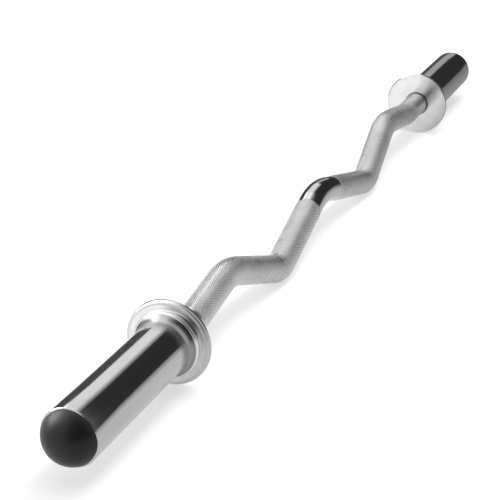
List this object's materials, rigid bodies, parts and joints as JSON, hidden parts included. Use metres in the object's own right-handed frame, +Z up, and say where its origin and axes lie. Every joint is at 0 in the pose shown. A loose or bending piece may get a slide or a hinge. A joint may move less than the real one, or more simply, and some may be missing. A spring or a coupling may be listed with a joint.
{
  "type": "ez curl bar",
  "caption": "Bent steel weightlifting bar for curls, with a knurled zigzag grip and free-spinning plate sleeves behind round collars.",
  "frame": {"origin": "middle of the bar on the sleeve axis, 39 mm above the floor that the collars stand on", "axes": "+X along the bar towards its right end, +Z up as the bar lies on a floor, +Y to the far side; the plane of the bends leans a few degrees from vertical, so the low bends rest on the floor"},
  "size_m": [1.168, 0.078, 0.078],
  "materials": {
    "shaft_steel": "satin hard chrome over a fine diamond knurl, polished at the middle and beside the collars",
    "sleeve_chrome": "polished bright chrome",
    "collar_steel": "satin turned steel with a bright rounded edge",
    "bushing_bronze": "plain oiled bronze",
    "plain_steel": "plain turned steel",
    "washer_nylon": "natural nylon",
    "ring_spring_steel": "black phosphated spring steel",
    "cap_plastic": "fine matte black plastic"
  },
  "bodies": {
    "bar": {"shaft": "shaft_steel", "left_inner_washer": "plain_steel", "right_inner_washer": "plain_steel", "left_nylon_washer": "washer_nylon", "right_nylon_washer": "washer_nylon", "left_steel_washer": "plain_steel", "right_steel_washer": "plain_steel", "left_retaining_ring": "ring_spring_steel", "right_retaining_ring": "ring_spring_steel"},
    "left_spinner": {"left_sleeve": "sleeve_chrome", "left_collar": "collar_steel", "left_inner_bushing": "bushing_bronze", "left_outer_bushing": "bushing_bronze", "left_spacer_tube": "plain_steel", "left_end_cap": "cap_plastic"},
    "right_spinner": {"right_sleeve": "sleeve_chrome", "right_collar": "collar_steel", "right_inner_bushing": "bushing_bronze", "right_outer_bushing": "bushing_bronze", "right_spacer_tube": "plain_steel", "right_end_cap": "cap_plastic"}
  },
  "joints": [
    {"name": "left_sleeve_spin", "type": "hinge", "parent": "bar", "child": "left_spinner", "pos_m": [-0.47, 0, 0], "axis": [1, 0, 0], "continuous": true},
    {"name": "right_sleeve_spin", "type": "hinge", "parent": "bar", "child": "right_spinner", "pos_m": [0.47, 0, 0], "axis": [1, 0, 0], "continuous": true}
  ]
}
